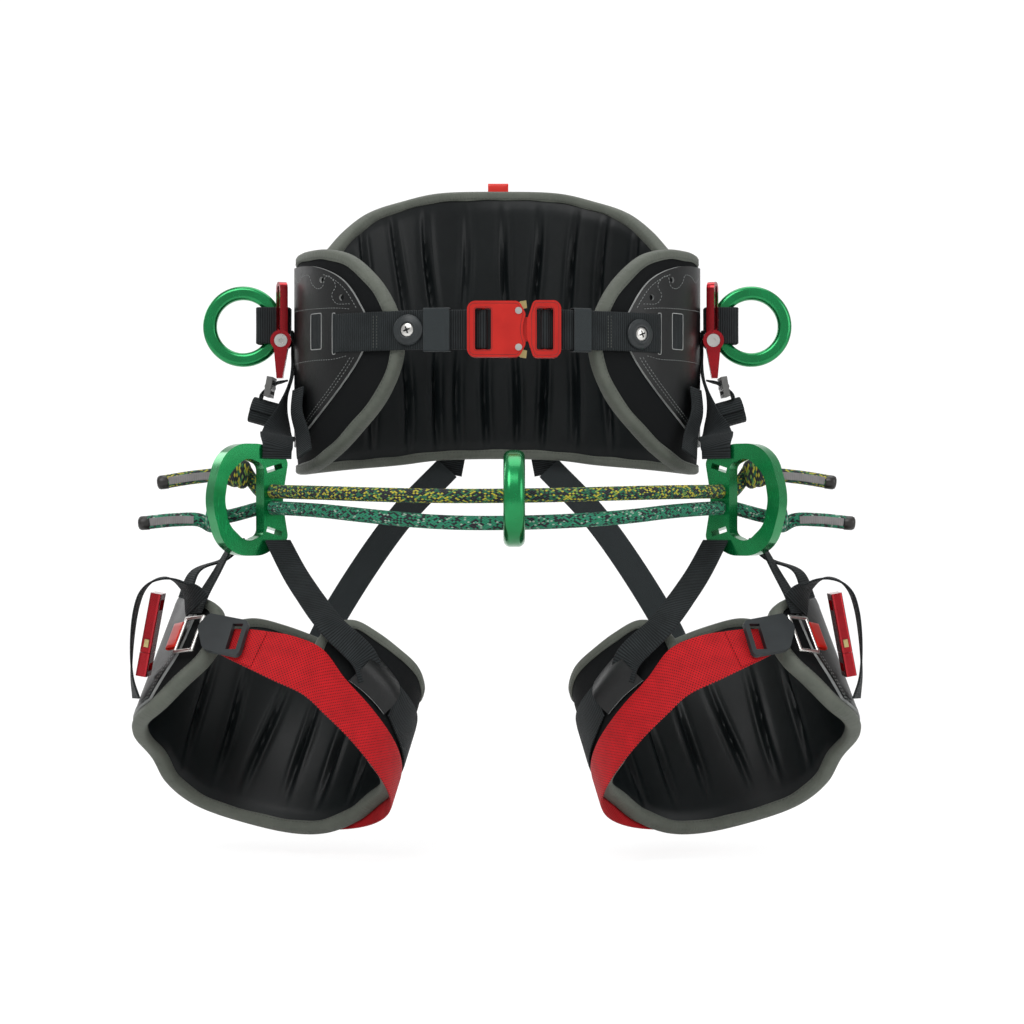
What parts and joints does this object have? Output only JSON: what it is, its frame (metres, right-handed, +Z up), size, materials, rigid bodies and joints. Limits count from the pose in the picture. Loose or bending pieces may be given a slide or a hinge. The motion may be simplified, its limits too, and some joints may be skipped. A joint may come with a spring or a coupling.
{
  "type": "tree climbing saddle",
  "caption": "Padded arborist saddle: waist belt with leather wings, quick buckle, two leg loops, side rings, and a double rope bridge with a sliding ring.",
  "frame": {"origin": "centre of the waist opening, level with the front strap's centreline", "axes": "+X towards the wearer's left side, -Y to the front where the buckle is, +Z up towards the wearer's head"},
  "size_m": [0.7172, 0.4066, 0.6779],
  "materials": {
    "lining": "smooth dark lining with pressed creases",
    "binding": "grey-green bias binding, woven",
    "leather": "glossy black leather with pale cut edges",
    "webbing": "charcoal ribbed webbing",
    "elastic": "charcoal elastic",
    "buckle_red": "satin red anodised aluminium",
    "bracket_red": "bright crimson anodised aluminium",
    "brass": "brushed brass",
    "steel": "bright steel",
    "green": "bright green anodised aluminium",
    "black_plastic": "matte black plastic",
    "red_web": "red webbing with a dark dot weave",
    "red_ribbon": "red satin ribbon",
    "rope_yellow": "braided rope, yellow, green and black",
    "rope_green": "braided rope, green, teal and black",
    "rope_end": "dipped black rope end"
  },
  "bodies": {
    "waist_belt": {"back_pad": "lining", "back_binding": "binding", "wing_leather_left": "leather", "wing_leather_right": "leather", "front_strap_left": "webbing", "front_strap_right": "webbing", "strap_keepers": "elastic", "cup_washers": "black_plastic", "strap_screws": "steel", "top_tab": "red_ribbon", "lumbar_webbing": "webbing", "strap_stubs": "webbing", "buckle_frame": "buckle_red", "buckle_rivets": "steel", "bridge_d_left": "green", "bridge_d_right": "green", "belt_risers": "webbing", "ring_loops": "webbing", "bracket_screws": "steel", "riser_tails": "webbing", "riser_adjusters": "steel", "rope_knots_upper": "rope_yellow", "rope_knots_lower": "rope_green", "rope_ends": "rope_end"},
    "buckle_tongue": {"buckle_tongue": "buckle_red"},
    "latch_upper": {"buckle_latch_upper": "brass"},
    "latch_lower": {"buckle_latch_lower": "brass"},
    "side_ring_left": {"side_ring_left": "green"},
    "side_bracket_left": {"side_bracket_left": "bracket_red"},
    "side_ring_right": {"side_ring_right": "green"},
    "side_bracket_right": {"side_bracket_right": "bracket_red"},
    "bridge": {"bridge_rope_upper": "rope_yellow", "bridge_rope_lower": "rope_green"},
    "bridge_ring": {"bridge_ring": "green"},
    "leg_loop_left": {"leg_pad_left": "lining", "leg_binding_left": "binding", "leg_leather_left": "leather", "leg_strap_left": "red_web", "leg_webbing_left": "webbing", "leg_wire_ring_left": "steel", "leg_ribbon_left": "red_ribbon", "leg_risers_left": "webbing", "rear_strap_left": "elastic", "leg_buckle_frame_left": "bracket_red"},
    "leg_hook_left": {"leg_hook_left": "black_plastic"},
    "leg_buckle_tongue_left": {"leg_buckle_tongue_left": "bracket_red"},
    "leg_buckle_latch_left": {"leg_buckle_latch_left": "brass"},
    "leg_loop_right": {"leg_pad_right": "lining", "leg_binding_right": "binding", "leg_leather_right": "leather", "leg_strap_right": "red_web", "leg_webbing_right": "webbing", "leg_wire_ring_right": "steel", "leg_ribbon_right": "red_ribbon", "leg_risers_right": "webbing", "rear_strap_right": "elastic", "leg_buckle_frame_right": "bracket_red"},
    "leg_hook_right": {"leg_hook_right": "black_plastic"},
    "leg_buckle_tongue_right": {"leg_buckle_tongue_right": "bracket_red"},
    "leg_buckle_latch_right": {"leg_buckle_latch_right": "brass"}
  },
  "joints": [
    {"name": "buckle_release", "type": "slide", "parent": "waist_belt", "child": "buckle_tongue", "axis": [1, 0, 0], "range_m": [0, 0.0108], "deforming": ["front_strap_right"]},
    {"name": "latch_upper_press", "type": "hinge", "parent": "waist_belt", "child": "latch_upper", "pos_m": [0.0213, -0.146, 0.0175], "axis": [0, 1, 0], "range_deg": [0, 12], "stiffness_Nm_per_rad": 0.05},
    {"name": "latch_lower_press", "type": "hinge", "parent": "waist_belt", "child": "latch_lower", "pos_m": [0.0213, -0.146, -0.0175], "axis": [0, -1, 0], "range_deg": [0, 12], "stiffness_Nm_per_rad": 0.05},
    {"name": "side_ring_left_swing", "type": "hinge", "parent": "waist_belt", "child": "side_ring_left", "pos_m": [-0.226, 0, 0.014], "axis": [0, 0, 1], "range_deg": [-15, 15]},
    {"name": "side_bracket_left_turn", "type": "hinge", "parent": "waist_belt", "child": "side_bracket_left", "pos_m": [-0.218, -0.023, -0.002], "axis": [0, -1, 0], "range_deg": [-5, 6]},
    {"name": "side_ring_right_swing", "type": "hinge", "parent": "waist_belt", "child": "side_ring_right", "pos_m": [0.226, 0, 0.014], "axis": [0, 0, 1], "range_deg": [-15, 15]},
    {"name": "side_bracket_right_turn", "type": "hinge", "parent": "waist_belt", "child": "side_bracket_right", "pos_m": [0.218, -0.023, -0.002], "axis": [0, 1, 0], "range_deg": [-5, 6]},
    {"name": "bridge_lift", "type": "hinge", "parent": "waist_belt", "child": "bridge", "pos_m": [0, -0.0993, -0.163], "axis": [-1, 0, 0], "range_deg": [0, 45], "deforming": ["bridge_rope_upper", "bridge_rope_lower"]},
    {"name": "bridge_ring_slide", "type": "slide", "parent": "bridge", "child": "bridge_ring", "axis": [1, 0, 0], "range_m": [-0.045, 0.045]},
    {"name": "leg_loop_left_swing", "type": "hinge", "parent": "waist_belt", "child": "leg_loop_left", "pos_m": [-0.24, -0.105, -0.212], "axis": [-1, 0, 0], "range_deg": [-10, 25], "deforming": ["leg_risers_left", "rear_strap_left"]},
    {"name": "leg_hook_left_turn", "type": "hinge", "parent": "leg_loop_left", "child": "leg_hook_left", "pos_m": [-0.28394, -0.15663, -0.29089], "axis": [-0.25, -0.5001, -0.8291], "range_deg": [-5, 8], "deforming": ["leg_strap_left"]},
    {"name": "leg_buckle_left_release", "type": "slide", "parent": "leg_loop_left", "child": "leg_buckle_tongue_left", "axis": [-0.1805, 0, -0.9836], "range_m": [0, 0.0064]},
    {"name": "leg_latch_left_press", "type": "slide", "parent": "leg_loop_left", "child": "leg_buckle_latch_left", "axis": [0, 1, 0], "range_m": [0, 0.0014], "stiffness_N_per_m": 150},
    {"name": "leg_loop_right_swing", "type": "hinge", "parent": "waist_belt", "child": "leg_loop_right", "pos_m": [0.24, -0.105, -0.212], "axis": [-1, 0, 0], "range_deg": [-10, 25], "deforming": ["leg_risers_right", "rear_strap_right"]},
    {"name": "leg_hook_right_turn", "type": "hinge", "parent": "leg_loop_right", "child": "leg_hook_right", "pos_m": [0.28394, -0.15663, -0.29089], "axis": [-0.25, 0.5001, 0.8291], "range_deg": [-5, 8], "deforming": ["leg_strap_right"]},
    {"name": "leg_buckle_right_release", "type": "slide", "parent": "leg_loop_right", "child": "leg_buckle_tongue_right", "axis": [0.1805, 0, -0.9836], "range_m": [0, 0.0064]},
    {"name": "leg_latch_right_press", "type": "slide", "parent": "leg_loop_right", "child": "leg_buckle_latch_right", "axis": [0, 1, 0], "range_m": [0, 0.0014], "stiffness_N_per_m": 150}
  ]
}
